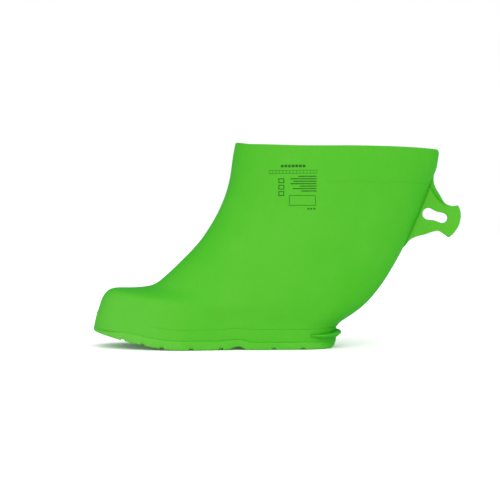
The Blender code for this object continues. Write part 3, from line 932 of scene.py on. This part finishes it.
rubber_group, group_in, group_out = new_group(
    "moulded rubber",
    (("Color", "NodeSocketColor", (0.1, 0.6, 0.03, 1.0)),
     ("Deep Color", "NodeSocketColor", (0.08, 0.55, 0.02, 1.0)),
     ("Bloom Color", "NodeSocketColor", (0.2, 0.65, 0.1, 1.0)),
     ("Bloom", "NodeSocketFloat", 0.1),
     ("Toe Highlight", "NodeSocketFloat", 0.1),
     ("Roughness Low", "NodeSocketFloat", 0.4),
     ("Roughness High", "NodeSocketFloat", 0.55)),
    (("Color", "NodeSocketColor"), ("Roughness", "NodeSocketFloat"), ("Height", "NodeSocketFloat")))
place = rubber_group.nodes.new("ShaderNodeTexCoord").outputs["Object"]
drift = add_noise(rubber_group, place, DRIFT_SCALE, 2.0)
patches = add_noise(rubber_group, place, PATCH_SCALE, 5.0, 0.6)
waviness = add_noise(rubber_group, place, WAVE_SCALE, 2.0)
grain = add_noise(rubber_group, place, GRAIN_SCALE, 3.0)
toned = add_mix(rubber_group, add_range(rubber_group, drift, 0.3, 0.7, 0.0, 1.0),
                group_in.outputs["Color"], group_in.outputs["Deep Color"])
along = rubber_group.nodes.new("ShaderNodeSeparateXYZ")
rubber_group.links.new(place, along.inputs["Vector"])
# Painted highlight on the toe, mixed towards the bloom colour.
toe_share = add_range(rubber_group, along.outputs["X"], TOE_HIGHLIGHT_START, TOE_HIGHLIGHT_FULL, 0.0, 1.0)
toe_highlight = add_math(rubber_group, "MULTIPLY", toe_share, group_in.outputs["Toe Highlight"])
patch_share = add_range(rubber_group, patches, 0.45, 0.75, 0.0, 1.0)
patch_bloom = add_math(rubber_group, "MULTIPLY", patch_share, group_in.outputs["Bloom"])
bloom_and_highlight = add_math(rubber_group, "ADD", patch_bloom, toe_highlight)
bloom_and_highlight_color = add_mix(rubber_group, bloom_and_highlight, toned, group_in.outputs["Bloom Color"])
rubber_group.links.new(bloom_and_highlight_color, group_out.inputs["Color"])
rough = add_range(rubber_group, patches, 0.3, 0.7, group_in.outputs["Roughness Low"],
                  group_in.outputs["Roughness High"])
rubber_group.links.new(rough, group_out.inputs["Roughness"])
fine_relief = add_math(rubber_group, "MULTIPLY", grain, GRAIN_SHARE)
relief_height = add_math(rubber_group, "ADD", waviness, fine_relief)
rubber_group.links.new(relief_height, group_out.inputs["Height"])
print("group", rubber_group.name, "has", len(rubber_group.nodes), "nodes")

# %% [markdown]
# ## Three finishes of one rubber
#
# The upper, its ledge and its tab are satin. The tread is the same green, but the mould of a tread is
# left rougher, so it shines less and holds more bloom. The inside was left by the core of the mould, and
# is matt; its green is set darker, as painted shade inside the shaft. Rubber reflects little light face
# on, so its specular level is low. The two values stored on the points mix in deeper greens as painted
# shade: one where the form turns from the broad side, and one in the crevices.

# %% Make the rubber materials
# How much painted crevice shade mixes in, and the deep green that stands for that shade.
CREVICE_SHADE_SHARE = 0.75
CREVICE_SHADE_COLOR = (0.004, 0.235, 0.002, 1.0)


def rubber(name, values, edge_shade_color, specular, bump):
    """A rubber material: the group's colour, roughness and height, and painted shade at edges and in
    crevices.
    """
    material = bpy.data.materials.new(name)
    material.use_nodes = True
    tree = material.node_tree
    shader = tree.nodes["Principled BSDF"]
    surface = tree.nodes.new("ShaderNodeGroup")
    surface.node_tree = rubber_group
    for socket, value in values.items():
        surface.inputs[socket].default_value = value
    # Painted shade where the form turns from the broad side, read from the stored attribute.
    edge = tree.nodes.new("ShaderNodeAttribute")
    edge.attribute_name = "edge"
    color = add_mix(tree, edge.outputs["Fac"], surface.outputs["Color"], edge_shade_color)
    # Painted shade in the crevices, read from the stored attribute.
    crevice_shade = tree.nodes.new("ShaderNodeAttribute")
    crevice_shade.attribute_name = "crevice_shade"
    crevice_shade_share = add_math(tree, "MULTIPLY", crevice_shade.outputs["Fac"], CREVICE_SHADE_SHARE)
    color = add_mix(tree, crevice_shade_share, color, CREVICE_SHADE_COLOR)
    relief = tree.nodes.new("ShaderNodeBump")
    relief.inputs["Strength"].default_value = 1.0
    relief.inputs["Distance"].default_value = bump
    tree.links.new(color, shader.inputs["Base Color"])
    tree.links.new(surface.outputs["Roughness"], shader.inputs["Roughness"])
    tree.links.new(surface.outputs["Height"], relief.inputs["Height"])
    tree.links.new(relief.outputs["Normal"], shader.inputs["Normal"])
    shader.inputs["Specular IOR Level"].default_value = specular
    print("material", name)
    return material


# In each material below, the edge colour is the deep green of the painted edge shade.
upper_rubber = rubber("green upper rubber",
                      {"Color": (0.061, 0.324, 0.0175, 1.0), "Deep Color": (0.0515, 0.316, 0.0135, 1.0),
                       "Bloom Color": (0.125, 0.385, 0.058, 1.0), "Bloom": 0.10, "Toe Highlight": 0.26,
                       "Roughness Low": 0.50, "Roughness High": 0.60},
                      edge_shade_color=(0.012, 0.276, 0.002, 1.0), specular=0.05, bump=0.6 * MM)
tread_rubber = rubber("green tread rubber",
                      {"Color": (0.066, 0.335, 0.0205, 1.0), "Deep Color": (0.059, 0.327, 0.0170, 1.0),
                       "Bloom Color": (0.130, 0.385, 0.062, 1.0), "Bloom": 0.25, "Toe Highlight": 0.35,
                       "Roughness Low": 0.62, "Roughness High": 0.74},
                      edge_shade_color=(0.015, 0.28, 0.003, 1.0), specular=0.06, bump=0.4 * MM)
# The inside is the same rubber, matt; its darker green is painted shade inside the shaft.
shaded_inner_rubber = rubber("green inner rubber with painted shade",
                      {"Color": (0.052, 0.290, 0.0145, 1.0), "Deep Color": (0.044, 0.275, 0.0115, 1.0),
                       "Bloom Color": (0.115, 0.350, 0.065, 1.0), "Bloom": 0.35, "Toe Highlight": 0.0,
                       "Roughness Low": 0.66, "Roughness High": 0.80},
                      edge_shade_color=(0.020, 0.26, 0.005, 1.0), specular=0.05, bump=0.8 * MM)
upper.material_slots[0].material = upper_rubber
upper.material_slots[1].material = shaded_inner_rubber
for piece in (ledge, tab):
    piece.data.materials.append(upper_rubber)
sole.data.materials.append(tread_rubber)

# %% [markdown]
# ## The ink
#
# The panel's ink is a dark green, a little glossier than the rubber. A screen lays it unevenly, so small
# specks of it are thinner and lighter.

# %% Make the ink material
INK_DARK = (0.008, 0.075, 0.003, 1.0)
INK_THIN = (0.020, 0.160, 0.007, 1.0)
SPECK_SCALE = 700.0
INK_SPECULAR = 0.08

ink = bpy.data.materials.new("dark green ink")
ink.use_nodes = True
ink_tree = ink.node_tree
ink_shader = ink_tree.nodes["Principled BSDF"]
ink_place = ink_tree.nodes.new("ShaderNodeTexCoord").outputs["Object"]
specks = add_noise(ink_tree, ink_place, SPECK_SCALE, 3.0, 0.6)
thin_share = add_range(ink_tree, specks, 0.45, 0.70, 0.0, 1.0)
ink_tree.links.new(add_mix(ink_tree, thin_share, INK_DARK, INK_THIN), ink_shader.inputs["Base Color"])
ink_tree.links.new(add_range(ink_tree, specks, 0.3, 0.7, 0.35, 0.55), ink_shader.inputs["Roughness"])
ink_shader.inputs["Specular IOR Level"].default_value = INK_SPECULAR
panel.data.materials.append(ink)
print("material", ink.name)

# %% [markdown]
# ## The studio
#
# The photograph was taken on a white floor in even white light. The broad side is brightest, and the
# rubber darkens towards its front edge and its back edge alike, so most of the light comes from in front
# of the broad side. A world that is brighter there gives the even light. One weak and very soft sun from
# above, and a little from in front, gives the toe and the heel their soft shadows.
#
# A white studio has walls and screens that throw light onto the floor and back up, and this scene has none.
# So the floor glows a little for the light that reaches the rubber. The camera sees far less of this glow,
# because it would wash out the thin shadows in the notches and under the toe.

# %% Build the floor
FLOOR_SIZE = 60.0
FLOOR_DROP = 0.1 * MM
FLOOR_WHITE = (0.92, 0.92, 0.92, 1.0)
FLOOR_ROUGHNESS = 0.9
FLOOR_SPECULAR = 0.1
FLOOR_GLOW = 0.14
FLOOR_SEEN_GLOW = 0.04
WHITE = (1.0, 1.0, 1.0, 1.0)

bpy.ops.object.select_all(action="DESELECT")
bpy.ops.mesh.primitive_plane_add(size=FLOOR_SIZE, location=(0.0, 0.0, -FLOOR_DROP))
floor = bpy.context.active_object
floor.name = "studio_floor"
bpy.ops.object.transform_apply(location=True, rotation=True, scale=True)
floor_material = bpy.data.materials.new("white floor")
floor_material.use_nodes = True
floor_tree = floor_material.node_tree
floor_shader = floor_tree.nodes["Principled BSDF"]
floor_shader.inputs["Base Color"].default_value = FLOOR_WHITE
floor_shader.inputs["Roughness"].default_value = FLOOR_ROUGHNESS
floor_shader.inputs["Specular IOR Level"].default_value = FLOOR_SPECULAR
floor_shader.inputs["Emission Color"].default_value = WHITE
floor_seen = floor_tree.nodes.new("ShaderNodeLightPath").outputs["Is Camera Ray"]
floor_tree.links.new(add_range(floor_tree, floor_seen, 0.0, 1.0, FLOOR_GLOW, FLOOR_SEEN_GLOW),
                     floor_shader.inputs["Emission Strength"])
floor.data.materials.append(floor_material)
print("floor", FLOOR_SIZE, "m wide")

# %% Light the studio
BACKDROP = 1.0
LIGHT_LOW = 0.70
LIGHT_HIGH = 2.84
BRIGHT_SIDE = (0.06, -0.99, -0.10)
SUN_STRENGTH = 0.3
SUN_SOFTNESS = math.radians(80)
SUN_FROM = Vector((-0.10, -0.35, 1.0))

world = bpy.data.worlds.new("white studio")
world.use_nodes = True
sky = world.node_tree
backdrop = sky.nodes["Background"]
backdrop.inputs["Color"].default_value = WHITE
backdrop.inputs["Strength"].default_value = BACKDROP
soft_light = sky.nodes.new("ShaderNodeBackground")
direction = sky.nodes.new("ShaderNodeTexCoord")
facing = sky.nodes.new("ShaderNodeVectorMath")
facing.operation = "DOT_PRODUCT"
facing.inputs[1].default_value = BRIGHT_SIDE
sky.links.new(direction.outputs["Generated"], facing.inputs[0])
strength = add_range(sky, facing.outputs["Value"], -1.0, 1.0, LIGHT_LOW, LIGHT_HIGH)
sky.links.new(strength, soft_light.inputs["Strength"])
seen = sky.nodes.new("ShaderNodeLightPath")
blend = sky.nodes.new("ShaderNodeMixShader")
sky.links.new(seen.outputs["Is Camera Ray"], blend.inputs[0])
sky.links.new(soft_light.outputs[0], blend.inputs[1])
sky.links.new(backdrop.outputs[0], blend.inputs[2])
sky.links.new(blend.outputs[0], sky.nodes["World Output"].inputs["Surface"])
bpy.context.scene.world = world

sun_data = bpy.data.lights.new("soft sun", "SUN")
sun_data.energy = SUN_STRENGTH
sun_data.angle = SUN_SOFTNESS
sun = bpy.data.objects.new("soft sun", sun_data)
bpy.context.scene.collection.objects.link(sun)
sun.rotation_euler = SUN_FROM.to_track_quat("Z", "Y").to_euler()
bpy.context.scene.view_settings.view_transform = "Standard"
bpy.context.scene.view_settings.look = "None"
print("soft world and one soft sun")
